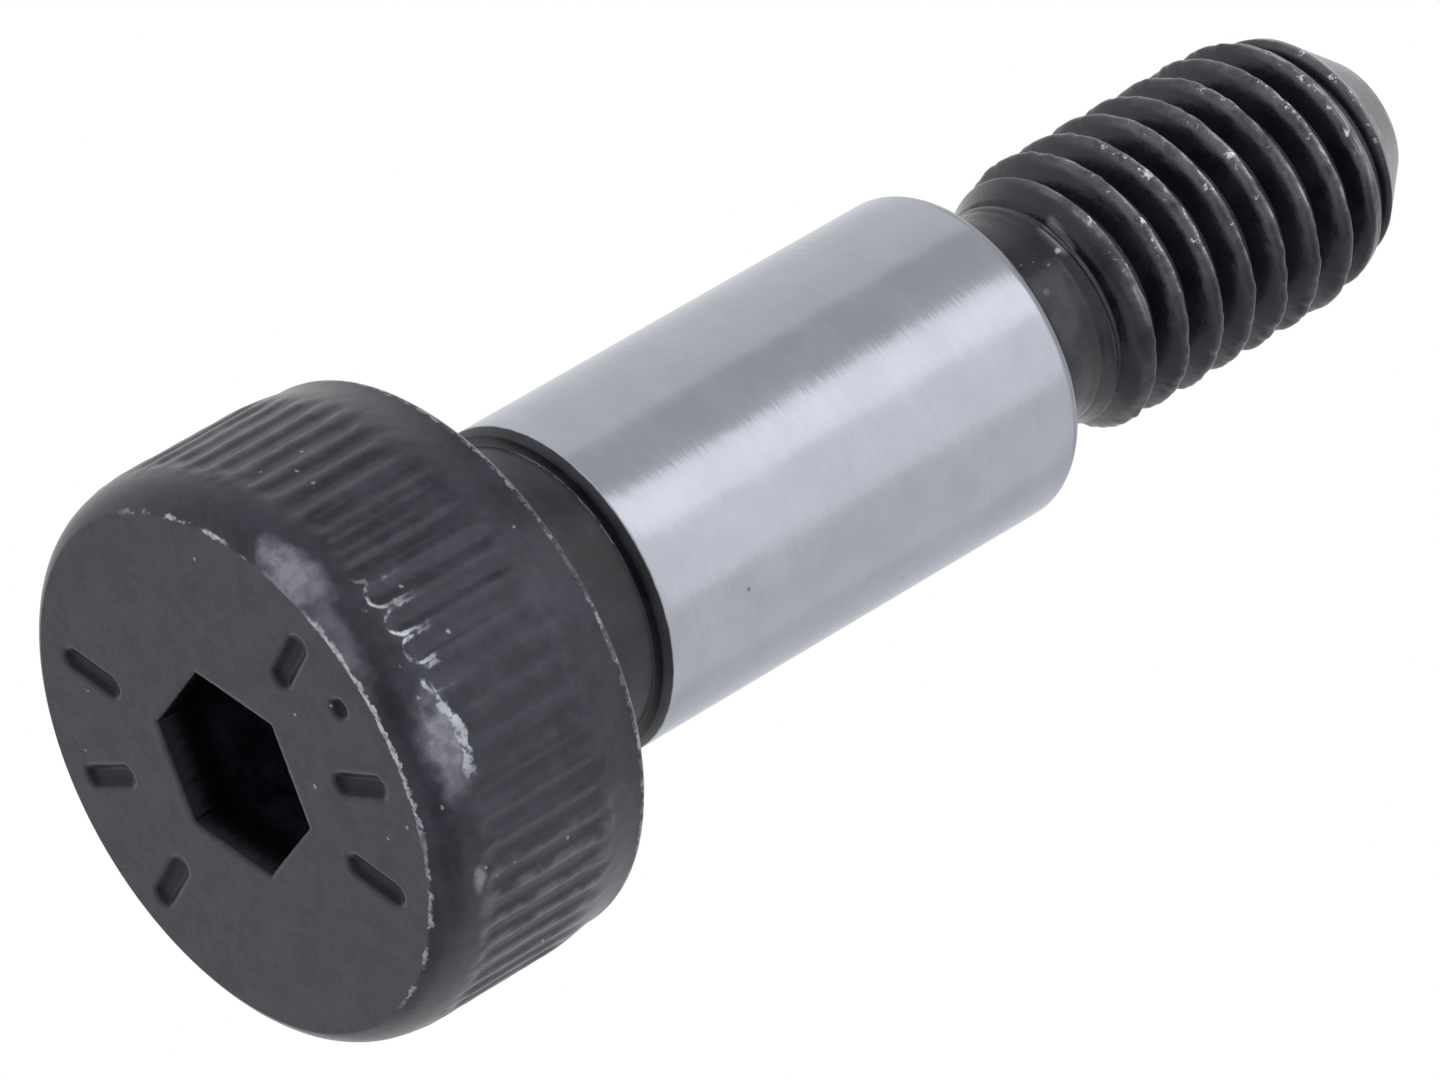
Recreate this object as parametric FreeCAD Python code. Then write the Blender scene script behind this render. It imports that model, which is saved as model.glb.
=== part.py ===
import FreeCAD, Part
import math
import os

from FreeCAD import Vector

# Socket head shoulder bolt, ground shoulder 6 mm by 12 mm, M5 thread.
# All lengths are in millimetres. The bolt stands on its head: z = 0 is the flat
# face of the head, and the thread points up the z axis.

# Head
HEAD_D = 10.0            # smooth bands of the head
HEAD_H = 4.5
FACE_ROUND = 0.6         # rounding from the side towards the flat face
FACE_EDGE_ANGLE = 25.0   # the round meets the face in an edge of this angle
RIM_CHAMFER = 0.10       # back edge of the head
UNDERHEAD_CORNER = 0.2   # slope that fills the corner under the head

# Straight knurl, raised over the smooth bands by the rolling
KNURL_D = 10.22          # over the ridges
KNURL_COUNT = 60
KNURL_START = 0.80       # height where the flutes begin
KNURL_END = 3.58         # height where the flutes end
KNURL_RAMP = 0.16        # height over which the knurled band rises
KNURL_LAND = 0.04        # plain strip between the rise and the ends of the flutes
FLUTE_WIDTH = 0.42       # at the ridges
FLUTE_FLOOR = 0.16
FLUTE_DEPTH = 0.12

# Hexagon socket
SOCKET_AF = 3.06         # across flats
SOCKET_DEPTH = 2.4       # depth of the full hexagon
SOCKET_LIP = 0.06        # width and depth of the lead-in at the mouth
SOCKET_POINT_ANGLE = 120.0

# Shoulder, between two relief grooves
SHOULDER_D = 6.0
SHOULDER_L = 12.0        # from the underside of the head to the end of the shoulder
HEAD_GROOVE_D = 5.42
HEAD_GROOVE_L = 2.5
HEAD_GROOVE_WALL = 0.16  # length of the sloped wall between the groove and the shoulder
SHOULDER_CHAMFER = 0.10
SHOULDER_CHAMFER_L = 0.25

# Neck between the shoulder and the thread
NECK_BELOW_ROOT = 0.08   # how far the neck's surface lies under the root of the thread
NECK_L = 1.5             # from the end of the shoulder to the start of the flare
NECK_CORNER = 0.2
FLARE_ANGLE = 30.0       # from the axis

# Thread
THREAD_D = 4.95          # over the crests of an M5 thread
THREAD_PITCH = 0.8
THREAD_DEPTH = 0.465
THREAD_ROOT_FLAT = 0.12
THREAD_ANGLE = 60.0
THREADED_L = 9.5         # from the end of the shoulder to the tip

# Tip: a gentle taper over the last full turns, then a chamfer down to a small flat
TIP_TAPER = 0.295        # loss of radius over the taper
TIP_TAPER_L = 0.95
TIP_CHAMFER = 0.86       # loss of radius over the chamfer
TIP_CHAMFER_L = 1.08

CUT_MARGIN = 0.03        # how far the cutting tools stand out of the metal

AXIS = Vector(0, 0, 1)
ORIGIN = Vector(0, 0, 0)

shoulder_end = HEAD_H + SHOULDER_L
flare_start = shoulder_end + NECK_L
total_length = shoulder_end + THREADED_L
chamfer_start = total_length - TIP_CHAMFER_L

thread_radius = THREAD_D / 2
root_radius = thread_radius - THREAD_DEPTH
neck_radius = root_radius - NECK_BELOW_ROOT
chamfer_radius = thread_radius - TIP_TAPER
tip_radius = chamfer_radius - TIP_CHAMFER


class Profile:
    """Half section drawn from the axis outwards, turned into a solid by turned()."""

    def __init__(self, height):
        self.start = Vector(0, 0, height)
        self.here = self.start
        self.edges = []

    def line(self, radius, height):
        there = Vector(radius, 0, height)
        self.edges.append(Part.makeLine(self.here, there))
        self.here = there

    def arc(self, centre_radius, centre_height, radius, height):
        """The short way round the centre to (radius, height)."""
        there = Vector(radius, 0, height)
        centre = Vector(centre_radius, 0, centre_height)
        outwards = (self.here + there) * 0.5 - centre
        middle = centre + outwards.normalize() * (there - centre).Length
        self.edges.append(Part.Arc(self.here, middle, there).toShape())
        self.here = there

    def turned(self):
        self.line(0, self.here.z)
        self.line(0, self.start.z)
        return Part.Face(Part.Wire(self.edges)).revolve(ORIGIN, AXIS, 360)


def head_and_shoulder():
    head = HEAD_D / 2
    knurl = KNURL_D / 2
    groove = HEAD_GROOVE_D / 2
    groove_end = HEAD_H + HEAD_GROOVE_L
    shoulder = SHOULDER_D / 2
    round_centre = head - FACE_ROUND
    round_start = FACE_ROUND * math.cos(math.radians(FACE_EDGE_ANGLE))
    face_edge = round_centre + FACE_ROUND * math.sin(math.radians(FACE_EDGE_ANGLE))

    outline = Profile(0)
    outline.line(face_edge, 0)
    outline.arc(round_centre, round_start, head, round_start)
    outline.line(knurl, KNURL_START - KNURL_LAND)
    outline.line(knurl, KNURL_END + KNURL_LAND)
    outline.line(head, KNURL_END + KNURL_LAND + KNURL_RAMP)
    outline.line(head, HEAD_H - RIM_CHAMFER)
    outline.line(head - RIM_CHAMFER, HEAD_H)
    outline.line(groove + UNDERHEAD_CORNER, HEAD_H)
    outline.line(groove, HEAD_H + UNDERHEAD_CORNER)
    outline.line(groove, groove_end - HEAD_GROOVE_WALL)
    outline.line(shoulder, groove_end)
    outline.line(shoulder, shoulder_end - SHOULDER_CHAMFER_L)
    outline.line(shoulder - SHOULDER_CHAMFER, shoulder_end)
    return outline.turned()


def prism(low, high):
    """Solid between two outlines whose matching sides are parallel."""
    faces = [Part.Face(Part.makePolygon(outline + outline[:1])) for outline in (low, high)]
    for i in range(len(low)):
        j = (i + 1) % len(low)
        side = Part.makePolygon([low[i], low[j], high[j], high[i], low[i]])
        faces.append(Part.Face(side))
    solid = Part.Solid(Part.Shell(faces))
    if solid.Volume < 0:
        solid.reverse()
    return solid


def flute_section(height):
    """Flat-bottomed groove with sloped flanks, in the +X side of the head."""
    floor = KNURL_D / 2 - FLUTE_DEPTH
    slope = (FLUTE_WIDTH - FLUTE_FLOOR) / 2 / FLUTE_DEPTH
    depth = FLUTE_DEPTH + CUT_MARGIN
    half = FLUTE_FLOOR / 2
    mouth = half + slope * depth
    return [
        Vector(floor, -half, height),
        Vector(floor + depth, -mouth, height),
        Vector(floor + depth, mouth, height),
        Vector(floor, half, height),
    ]


def flutes():
    """One straight flute, repeated round the head."""
    tools = []
    for i in range(KNURL_COUNT):
        tool = prism(flute_section(KNURL_START), flute_section(KNURL_END))
        tool.rotate(ORIGIN, AXIS, 360.0 / KNURL_COUNT * (i + 0.5))
        tools.append(tool)
    return tools


def hexagon(across_flats, height):
    radius = across_flats / math.sqrt(3)
    corners = []
    for i in range(6):
        angle = math.radians(60 * i)
        corners.append(Vector(radius * math.cos(angle), radius * math.sin(angle), height))
    return corners


def socket():
    """Hexagon with a lead-in at the mouth and a drill point at the bottom."""
    radius = SOCKET_AF / 2
    point = radius / math.tan(math.radians(SOCKET_POINT_ANGLE / 2))
    # at 45 degrees from inside the socket through the face, to a lip below it
    mouth = hexagon(SOCKET_AF + 4 * SOCKET_LIP, -SOCKET_LIP)
    return [
        prism(mouth, hexagon(SOCKET_AF, SOCKET_LIP)),
        prism(hexagon(SOCKET_AF, 0), hexagon(SOCKET_AF, SOCKET_DEPTH)),
        Part.makeCone(radius, 0, point, Vector(0, 0, SOCKET_DEPTH), AXIS),
    ]


def shank_envelope():
    """Neck, flare, crests and tip, as turned before the thread is rolled."""
    flare_length = (thread_radius - neck_radius) / math.tan(math.radians(FLARE_ANGLE))

    outline = Profile(shoulder_end)
    outline.line(neck_radius + NECK_CORNER, shoulder_end)
    outline.line(neck_radius, shoulder_end + NECK_CORNER)
    outline.line(neck_radius, flare_start)
    outline.line(thread_radius, flare_start + flare_length)
    outline.line(thread_radius, chamfer_start - TIP_TAPER_L)
    outline.line(chamfer_radius, chamfer_start)
    outline.line(tip_radius, total_length)
    return outline.turned()


def thread_groove(start, turns):
    """Groove with a narrow flat root and sloped flanks, swept along a right-hand helix."""
    slope = math.tan(math.radians(THREAD_ANGLE / 2))
    outside = thread_radius + CUT_MARGIN
    low = THREAD_ROOT_FLAT / 2
    high = low + (outside - root_radius) * slope
    corners = [(root_radius, -low), (outside, -high), (outside, high), (root_radius, low)]
    section = Part.makePolygon([Vector(radius, 0, height) for radius, height in corners + corners[:1]])
    helix = Part.makeHelix(THREAD_PITCH, turns * THREAD_PITCH, root_radius)
    groove = Part.Wire(helix.Edges).makePipeShell([section], True, True)
    groove.translate(Vector(0, 0, start))
    return groove


def threaded_shank():
    """A rod with a helical groove, trimmed to the turned shape, so the thread runs out at both ends."""
    # the groove starts in the neck and ends where the tip is thinner than its root
    groove_start = flare_start - THREAD_PITCH / 2
    thin_tip = total_length - (root_radius - tip_radius) * TIP_CHAMFER_L / TIP_CHAMFER
    turns = math.ceil((thin_tip - groove_start) / THREAD_PITCH + 0.5)
    groove = thread_groove(groove_start, turns)

    rod_start = groove_start - THREAD_PITCH
    rod_length = (turns + 2) * THREAD_PITCH
    rod = Part.makeCylinder(thread_radius, rod_length, Vector(0, 0, rod_start), AXIS)
    threaded = rod.cut(groove)
    if threaded.Volume > rod.Volume - groove.Volume / 2:
        raise ValueError("the thread was not cut")

    # below the rod the envelope is the plain neck
    plain = Part.makeCylinder(thread_radius, rod_start - shoulder_end, Vector(0, 0, shoulder_end), AXIS)
    return shank_envelope().common(threaded.fuse(plain)).Solids[0]


def shoulder_bolt():
    bolt = head_and_shoulder().cut(socket()).cut(flutes())
    bolt = bolt.fuse(threaded_shank()).removeSplitter()
    if len(bolt.Solids) != 1 or not bolt.isValid():
        raise ValueError("the bolt is not one valid solid")
    return bolt.Solids[0]


os.makedirs("parts", exist_ok=True)
shoulder_bolt().exportStep("parts/shoulder_bolt.step")
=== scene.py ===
import math

import bmesh
import bpy
import numpy as np
from mathutils import Matrix, Vector


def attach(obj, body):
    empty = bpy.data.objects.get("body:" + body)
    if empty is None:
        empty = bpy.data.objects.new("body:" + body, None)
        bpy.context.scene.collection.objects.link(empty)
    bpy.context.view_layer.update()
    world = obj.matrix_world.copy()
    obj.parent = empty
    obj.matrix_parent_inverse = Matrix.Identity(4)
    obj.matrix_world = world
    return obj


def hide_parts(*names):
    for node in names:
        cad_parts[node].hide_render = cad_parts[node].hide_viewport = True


# Socket head shoulder bolt. Lengths are in millimetres and become metres only
# where an object is made. z = 0 is the face of the head. The lamps, cards and
# floor round it are in metres.

MM = 0.001

# Softened corners
CORNER_SOFT = 0.02       # how far the points of a softened corner lie from the sharp one
EDGE_SOFT = 0.012        # the same at the two edges of the back rim

# Head
HEAD_R = 5.0
HEAD_H = 4.5
FACE_ROUND = 0.6
FACE_EDGE_ANGLE = 25.0   # the round meets the face in an edge of this angle
FACE_RIM_R = 4.45        # row of points between the strokes and the edge of the face
RIM_CHAMFER = 0.10
UNDERHEAD_MIDDLE = 3.9   # row of points halfway along the underside
UNDERHEAD_CORNER = 0.2
BACK_BAND = 4.36         # height up to which the side follows the knurl
HEAD_COLUMNS = 720

FACE_EDGE_R = HEAD_R - FACE_ROUND + FACE_ROUND * math.sin(math.radians(FACE_EDGE_ANGLE))
ROUND_END = FACE_ROUND * math.cos(math.radians(FACE_EDGE_ANGLE))

# Knurl
KNURL_R = 5.11           # over the ridges
KNURL_COUNT = 60
KNURL_START = 0.80
KNURL_END = 3.58
KNURL_RISE = (0.22, 0.98)   # heights between which the knurl comes up from the front band
KNURL_FALL = (4.34, 3.3)    # heights between which it comes up from the back band
RIDGE_NOISE = 0.006      # unevenness of the ridges
FLUTE_DEPTH = 0.060
FLUTE_UNEVEN = 0.25      # share by which the depths differ
FLUTE_SWAY = 4           # sideways wander, where a flute and a ridge together are 360
FLUTE_END_LENGTH = 0.42  # height over which a flute deepens at the front
FLUTE_RUN_OUT = 0.70     # the same at the back, where the flutes fade away
FLUTE_BEFORE = 0.08      # how far the flutes reach past KNURL_START
FLUTE_AFTER = 0.10       # how far they reach past KNURL_END
FLUTE_RAGGED = 0.12      # how much these ends differ
WORN_FLUTES = (-58, 42, 0.35)   # azimuth of the middle, half angle, share of the depth worn off

# Hexagon socket
SOCKET_AF = 3.06
SOCKET_DEPTH = 2.4
SOCKET_POINT = 0.883     # depth of the drill point under the hexagon
SOCKET_MOUTH_AF = 3.20
SOCKET_MOUTH_L = 0.80    # depth over which the worn mouth narrows to the true hexagon
MOUTH_LIP = (0.6, 0.03)  # share of that widening, and how far under the face it lies
MOUTH_BEVEL_W = 0.012    # width and depth of the small bevel along the mouth
MOUTH_BEVEL_H = 0.008
MOUTH_ROUGH = 0.006      # unevenness of the mouth
MOUTH_TORN = 0.016       # further unevenness on its torn side
TORN_AZIMUTH = 150
TORN_ANGLES = (40, 15)   # angles from there between which the mouth gets torn
BURR = (121, 2.0, 0.05)  # azimuth, half angle and size of a burr

# Plain strokes pressed into the face: azimuth in degrees and radius of the middle
STROKES = [(181, 3.4), (148, 3.5), (115, 3.5), (-67, 3.4), (-28, 3.4), (2, 3.4)]
STROKE_LENGTH = 1.35
STROKE_WIDTH = 0.46
STROKE_DEPTH = 0.10
STROKE_EDGE = 0.16
STROKE_RINGS = (2.6, 4.25, 40)   # radii between which the strokes lie, and rows of points there
DOT = (-49, 3.8)
DOT_R = 0.2

# Scuffs on the rounding: azimuth, height, half angle in degrees, half height, share of the full wear
SCUFFS = [
    (-76, 0.24, 10, 0.34, 1.0),
    (-33.5, 0.72, 10.5, 0.42, 1.0),
    (-6, 0.74, 3.5, 0.13, 1.0),
    (-61, 0.05, 12, 0.30, 0.5),
]
DENT_DEPTH = 0.03
DENT_LUMPS = 0.8         # share by which the depth of a dent differs
DENT_START = (0.02, 0.14)   # heights between which the dents begin

# Shoulder and the groove under the head
GROOVE_R = 2.71
GROOVE_L = 2.5
GROOVE_MIDDLE = 5.6      # row of points in the groove
GROOVE_WALL = 0.16
WALL_STEP = 0.16         # part of the wall that stands nearly square to the axis
SHOULDER_R = 3.0
SHOULDER_END = 16.5
SHOULDER_CHAMFER = 0.10
SHOULDER_CHAMFER_L = 0.25
END_MIDDLE = 2.5         # row of points in the end face
SHOULDER_COLUMNS = 240

# Neck, thread and tip
NECK_R = 1.93
NECK_CORNER = 0.2
FLARE_START = 18.0
FLARE_ANGLE = 30.0
FLARE_CORNER = (0.04, 0.16)   # size and half length of the rounding where the flare begins
THREAD_SUNK = 0.05       # the neck starts this far over the end face, hidden in its corner
THREAD_R = 2.475
THREAD_ROOT_R = 2.01
THREAD_PITCH = 0.8
THREAD_ROOT_FLAT = 0.12
THREAD_ANGLE = 60.0
GROOVE_CENTRE = 17.6     # height of the middle of the first groove at azimuth 0
TAPER_START = 23.97
CHAMFER_START = 24.92
TIP_END = 26.0
TAPER_R = 2.18
TIP_R = 1.32
CREST_ROUNDING = 0.11
FIRST_ROUNDING = 0.02    # the same where the first groove cuts into the flare
FULL_CRESTS = (18.2, 18.5)   # heights between which the rounding grows from first to full
CREST_LUMPS = 0.018
CREST_BAND = (0.25, 0.42)    # heights over the root between which the lumps begin
THREAD_COLUMNS = 240
ROWS_PER_TURN = 26
WELD = 0.0005            # points closer than this are one point
SHARP_ANGLE = 50.0       # edges sharper than this stay sharp

# Specks of dirt on the neck: azimuth, height, radius and how pale they are
NECK_SPOTS = [
    (-67, 18.06, 0.05, 0.9),
    (-52.5, 17.4, 0.06, 0.16),
    (-71, 17.33, 0.02, 0.3),
    (-69, 17.56, 0.02, 0.3),
    (-64, 17.77, 0.025, 0.4),
]

# Camera
CAMERA_PLACE = (110.339, -123.523, -100.359)
CAMERA_AIM = (0.522, 0.463, 10.466)
CAMERA_ROLL = 59.695
CAMERA_LENS = 300.0
CAMERA_SENSOR = 36.0

NOISE_ROWS = 256


def smooth(low, high, value):
    """0 at low, 1 at high, and an even curve between them. low may be over high."""
    t = np.clip((value - low) / (high - low), 0, 1)
    return t * t * (3 - 2 * t)


def rounded_min(a, b, blend):
    """The smaller of a and b, with the corner where they meet rounded."""
    h = np.clip(0.5 + (b - a) / (2 * blend), 0, 1)
    return b + (a - b) * h - blend * h * (1 - h)


def noise_round(azimuth, height, cells, seed):
    """Smooth noise from -1 to 1 that closes up after one turn. height is in cells."""
    grid = np.random.default_rng(seed).uniform(-1, 1, (cells, NOISE_ROWS))
    x = np.mod(azimuth / 360.0, 1) * cells
    i, j = np.floor(x).astype(int), np.floor(height).astype(int)
    u, v = x - i, height - j
    u, v = u * u * (3 - 2 * u), v * v * (3 - 2 * v)
    i, j = i % cells, j % NOISE_ROWS
    k, m = (i + 1) % cells, (j + 1) % NOISE_ROWS
    low = grid[i, j] * (1 - u) + grid[k, j] * u
    high = grid[i, m] * (1 - u) + grid[k, m] * u
    return low * (1 - v) + high * v


def turn_from(middle, azimuth):
    """Angle from the middle to the azimuth, from -180 to 180 degrees."""
    return np.mod(azimuth - middle + 180, 360) - 180


def even(low, high, count):
    """count values from low up to, and without, high."""
    return list(np.linspace(low, high, count, endpoint=False))


def add_piece(name, mesh):
    """A piece of the bolt, fixed to its only body in place of the solid."""
    piece = bpy.data.objects.new(name, mesh)
    bpy.context.scene.collection.objects.link(piece)
    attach(piece, "root")
    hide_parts("shoulder_bolt")
    return piece


def turn_into_piece(name, radius, height, azimuth):
    """A closed skin from rows of points round the axis. The first and last rows are closed to the axis."""
    rows, columns = radius.shape
    angle = np.radians(azimuth)
    points = np.stack([radius * np.cos(angle), radius * np.sin(angle), height], -1) * MM
    ends = [(0, 0, height[0].mean() * MM), (0, 0, height[-1].mean() * MM)]
    vertices = np.concatenate([points.reshape(-1, 3), ends])
    index = np.arange(rows * columns).reshape(rows, columns)
    after = np.roll(index, -1, axis=1)
    faces = np.stack([index[:-1], after[:-1], after[1:], index[1:]], -1).reshape(-1, 4)
    first, last = rows * columns, rows * columns + 1
    fans = [(first, b, a) for a, b in zip(index[0], after[0])]
    fans += [(last, a, b) for a, b in zip(index[-1], after[-1])]
    mesh = bpy.data.meshes.new(name)
    mesh.from_pydata(vertices.tolist(), [], faces.tolist() + fans)
    mesh.validate()
    mesh.shade_smooth()
    return add_piece(name, mesh)


# Head


def hexagon_radius(azimuth, across_flats):
    from_flat = np.radians(np.mod(azimuth, 60) - 30)
    return across_flats / 2 / np.cos(from_flat)


def stroke_depth(x, y):
    """How deep the plain strokes and the dot lie under the face."""
    gaps = []
    for azimuth, middle in STROKES:
        a = math.radians(azimuth)
        along = x * math.cos(a) + y * math.sin(a) - middle
        across = -x * math.sin(a) + y * math.cos(a)
        beyond = np.maximum(np.abs(along) - (STROKE_LENGTH - STROKE_WIDTH) / 2, 0)
        gaps.append(np.hypot(beyond, across) - STROKE_WIDTH / 2)
    azimuth, middle = DOT
    a = math.radians(azimuth)
    gaps.append(np.hypot(x - middle * math.cos(a), y - middle * math.sin(a)) - DOT_R)
    return STROKE_DEPTH * smooth(STROKE_EDGE / 3, -STROKE_EDGE, np.min(gaps, axis=0))


def socket_mouth(azimuth):
    """The worn edge of the socket, most ragged on the side away from the camera."""
    ragged = MOUTH_ROUGH + MOUTH_TORN * smooth(*TORN_ANGLES, np.abs(azimuth - TORN_AZIMUTH))
    noise = noise_round(azimuth, 0 * azimuth, cells=150, seed=31)
    place, reach, size = BURR
    burr = size * np.exp(-((azimuth - place) / reach) ** 2)
    return hexagon_radius(azimuth, SOCKET_MOUTH_AF) + ragged * noise - burr


def socket_rows(azimuth):
    """From the drill point up the walls to the worn mouth."""
    round_r = np.full_like(azimuth, SOCKET_AF / 2)
    wall = hexagon_radius(azimuth, SOCKET_AF)
    mouth = socket_mouth(azimuth)
    tip, soft = 0.02, 0.01
    share, lip = MOUTH_LIP
    rows = [
        (round_r * tip, SOCKET_DEPTH + SOCKET_POINT * (1 - tip)),
        (round_r * (1 - soft), SOCKET_DEPTH + SOCKET_POINT * soft),
        (round_r, SOCKET_DEPTH),
        (wall * (1 - soft / 2), SOCKET_DEPTH),
        (wall, SOCKET_DEPTH - soft),
        (wall, SOCKET_MOUTH_L),
        (wall * (1 - share) + mouth * share, lip),
        (mouth, MOUTH_BEVEL_H),
    ]
    return [(radius, np.full_like(azimuth, height)) for radius, height in rows]


def face_rows(azimuth):
    """The flat face. Its rows lie close together where the strokes are."""
    mouth = socket_mouth(azimuth) + MOUTH_BEVEL_W
    inner, outer, count = STROKE_RINGS
    rings = [mouth + (inner - mouth) * t for t in (0, 0.1, 0.4, 0.7)]
    rings += [0 * azimuth + r for r in np.linspace(inner, outer, count)]
    rings += [0 * azimuth + r for r in (FACE_RIM_R, FACE_EDGE_R - 0.01)]
    angle = np.radians(azimuth)
    return [(radius, stroke_depth(radius * np.cos(angle), radius * np.sin(angle))) for radius in rings]


def round_rows(azimuth):
    """The rounding between the face and the side."""
    rows = []
    for angle in even(FACE_EDGE_ANGLE, 90, 12):
        a = math.radians(angle)
        radius = HEAD_R - FACE_ROUND + FACE_ROUND * math.sin(a)
        height = ROUND_END - FACE_ROUND * math.cos(a)
        radius = radius + knurl_rise(height) * (KNURL_R - HEAD_R - RIDGE_NOISE)
        rows.append((radius - dents(azimuth, height), np.full_like(azimuth, height)))
    return rows


def knurl_rise(height):
    """0 on the smooth bands of the head, 1 on the knurl."""
    return smooth(*KNURL_RISE, height) * smooth(*KNURL_FALL, height)


def flute_depth(azimuth, height):
    """Straight rolled flutes, wider than the ridges between them, that run out at both ends."""
    sway = FLUTE_SWAY * noise_round(azimuth, height * 1.5 + 3, cells=60, seed=5)
    wave = 0.5 - 0.5 * np.cos(np.radians(azimuth * KNURL_COUNT + sway))
    uneven = 1 + FLUTE_UNEVEN * noise_round(azimuth, height * 0.9 + 9, cells=60, seed=8)
    noise_row = 5.5 if height < (KNURL_START + KNURL_END) / 2 else 8.5
    ragged = FLUTE_RAGGED * noise_round(azimuth, 0 * azimuth + noise_row, cells=120, seed=9)
    from_start = (height - KNURL_START + FLUTE_BEFORE + ragged) / FLUTE_END_LENGTH
    from_end = (KNURL_END - height + FLUTE_AFTER + ragged) / FLUTE_RUN_OUT
    ends = smooth(0, 1, from_start) * smooth(0, 1, from_end)
    middle, reach, share = WORN_FLUTES
    worn = 1 - share * np.exp(-(turn_from(middle, azimuth) / reach) ** 4)
    return FLUTE_DEPTH * uneven * worn * ends * smooth(-0.1, 1.0, wave)


def dents(azimuth, height):
    """How far the scuffed patches of the rounding are flattened."""
    depth = 0 * azimuth
    lumps = 1 + DENT_LUMPS * noise_round(azimuth, height * 6 + 2, cells=110, seed=21)
    for middle, low, reach, half, share in SCUFFS:
        away = (turn_from(middle, azimuth) / reach) ** 2 + ((height - low) / half) ** 2
        depth = depth + DENT_DEPTH * share * np.exp(-away) * lumps
    return depth * smooth(*DENT_START, height)


def side_radius(azimuth, height):
    rough = RIDGE_NOISE * noise_round(azimuth, height * 4 + 7, cells=180, seed=3)
    up = knurl_rise(height) * (KNURL_R - HEAD_R - RIDGE_NOISE + rough)
    return HEAD_R + up - knurl_rise(height) * flute_depth(azimuth, height) - dents(azimuth, height)


def side_rows(azimuth):
    """From the end of the rounding over the knurl to the back rim and the corner with the groove."""
    start, end = KNURL_START + FLUTE_END_LENGTH, KNURL_END - FLUTE_RUN_OUT
    heights = even(ROUND_END, start, 17) + even(start, end, 14) + even(end, BACK_BAND, 18)
    rows = [(side_radius(azimuth, height), height) for height in heights]
    outline = [
        (HEAD_R, BACK_BAND),
        (HEAD_R, HEAD_H - RIM_CHAMFER - CORNER_SOFT),
        (HEAD_R - EDGE_SOFT, HEAD_H - RIM_CHAMFER + EDGE_SOFT),
        (HEAD_R - RIM_CHAMFER + EDGE_SOFT, HEAD_H - EDGE_SOFT),
        (HEAD_R - RIM_CHAMFER - CORNER_SOFT, HEAD_H),
        (UNDERHEAD_MIDDLE, HEAD_H),
        (GROOVE_R + UNDERHEAD_CORNER + CORNER_SOFT, HEAD_H),
        (GROOVE_R + UNDERHEAD_CORNER - CORNER_SOFT, HEAD_H + CORNER_SOFT),
        (GROOVE_R, HEAD_H + UNDERHEAD_CORNER),
    ]
    rows += [(0 * azimuth + radius, height) for radius, height in outline]
    return [(radius, np.full_like(azimuth, height)) for radius, height in rows]


def make_head():
    azimuth = np.arange(HEAD_COLUMNS) * 360.0 / HEAD_COLUMNS
    rows = socket_rows(azimuth) + face_rows(azimuth) + round_rows(azimuth) + side_rows(azimuth)
    radius = np.array([row[0] for row in rows])
    height = np.array([row[1] for row in rows])
    return turn_into_piece("bolt_head", radius, height, azimuth[None, :])


# Shoulder


def make_shoulder():
    """Groove, wall, ground cylinder and its end. The first row is hidden in the head."""
    groove_end = HEAD_H + GROOVE_L
    wall = groove_end - GROOVE_WALL
    chamfer = SHOULDER_END - SHOULDER_CHAMFER_L
    outline = [
        (GROOVE_R, HEAD_H),
        (GROOVE_R, HEAD_H + UNDERHEAD_CORNER),
        (GROOVE_R, GROOVE_MIDDLE),
        (GROOVE_R, wall - 0.03),
        (GROOVE_R + 0.01, wall),
        (GROOVE_R + WALL_STEP, wall + CORNER_SOFT),
        (GROOVE_R + WALL_STEP + CORNER_SOFT, wall + 0.035),
        (SHOULDER_R - CORNER_SOFT, groove_end - 0.025),
        (SHOULDER_R - 0.004, groove_end + 0.008),
        (SHOULDER_R, groove_end + 0.04),
    ]
    outline += [(SHOULDER_R, z) for z in even(groove_end + 0.3, chamfer - 0.1, 24)]
    for t in np.linspace(0, 1, 7):
        outline.append((SHOULDER_R - SHOULDER_CHAMFER * t * t, chamfer + (SHOULDER_CHAMFER_L - 0.01) * t))
    outline += [
        (SHOULDER_R - SHOULDER_CHAMFER - 0.015, SHOULDER_END),
        (END_MIDDLE, SHOULDER_END),
        (NECK_R + NECK_CORNER + 0.03, SHOULDER_END),
        (NECK_R + NECK_CORNER - CORNER_SOFT, SHOULDER_END + 0.01),
        (NECK_R + 0.05, SHOULDER_END + NECK_CORNER - 0.09),
        (NECK_R, SHOULDER_END + NECK_CORNER),
    ]
    azimuth = np.arange(SHOULDER_COLUMNS) * 360.0 / SHOULDER_COLUMNS
    points = np.array(outline)
    radius = np.repeat(points[:, :1], SHOULDER_COLUMNS, axis=1)
    height = np.repeat(points[:, 1:], SHOULDER_COLUMNS, axis=1)
    return turn_into_piece("bolt_shoulder", radius, height, azimuth[None, :])


# Thread


def shank_radius(height):
    """Neck, flare, crests and tip, before the thread is rolled."""
    flare_end = FLARE_START + (THREAD_R - NECK_R) / math.tan(math.radians(FLARE_ANGLE))
    places = [SHOULDER_END, FLARE_START, flare_end, TAPER_START, CHAMFER_START, TIP_END]
    turned = np.interp(height, places, [NECK_R, NECK_R, THREAD_R, THREAD_R, TAPER_R, TIP_R])
    size, reach = FLARE_CORNER
    return turned + size * np.exp(-((height - FLARE_START) / reach) ** 2)


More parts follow.
